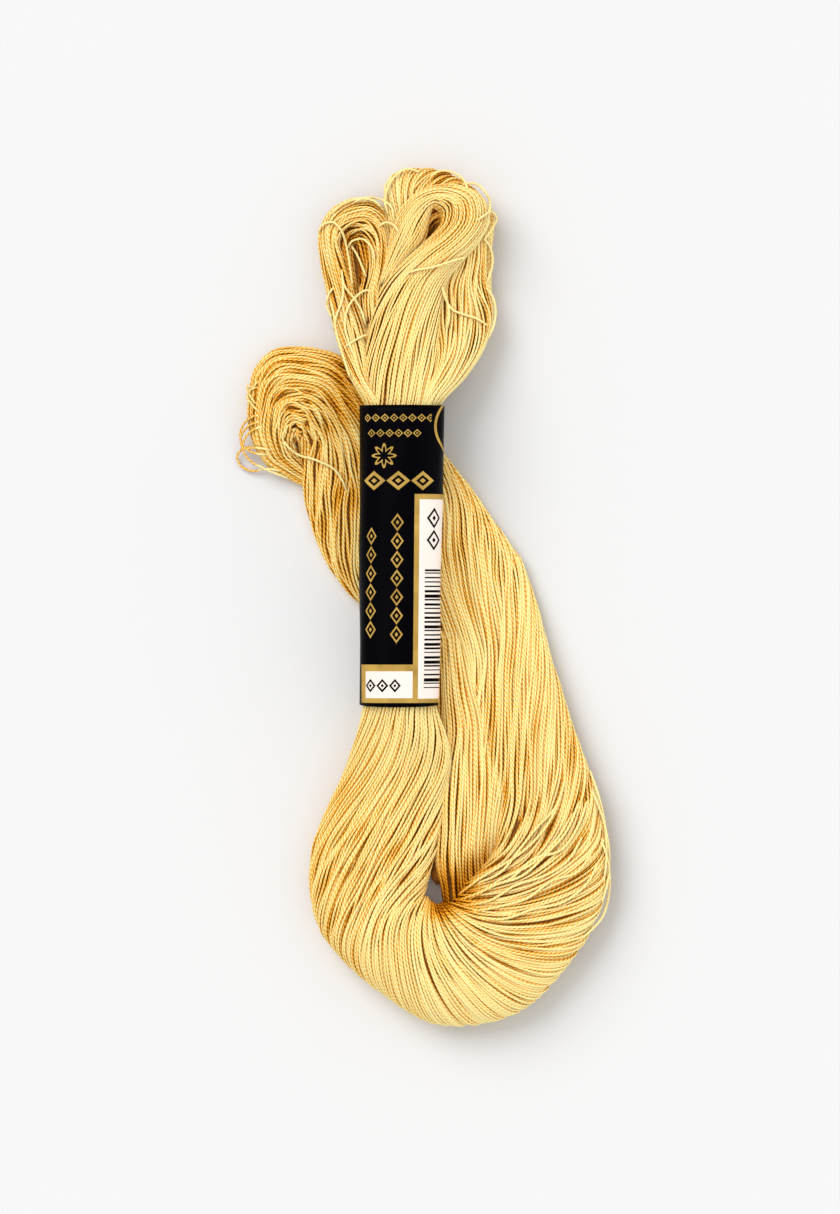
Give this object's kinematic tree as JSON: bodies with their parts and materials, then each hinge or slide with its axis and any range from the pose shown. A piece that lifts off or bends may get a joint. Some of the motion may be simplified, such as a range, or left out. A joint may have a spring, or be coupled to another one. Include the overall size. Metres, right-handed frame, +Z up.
{
  "type": "embroidery thread hank with a paper band",
  "caption": "Twisted hank of pearl cotton embroidery thread, folded in a U and held by a printed paper band.",
  "frame": {"origin": "middle of the footprint, on the surface that the hank lies on", "axes": "+Y along the hank's length towards the loops above the band, +Z up out of the surface"},
  "size_m": [0.0756, 0.1806, 0.0172],
  "materials": {
    "thread": "soft sheen of mercerised cotton, straw yellow",
    "paper": "satin coated paper, printed black, gold and white"
  },
  "bodies": {
    "root": {"hank": "thread", "label_band": "paper"}
  },
  "joints": []
}
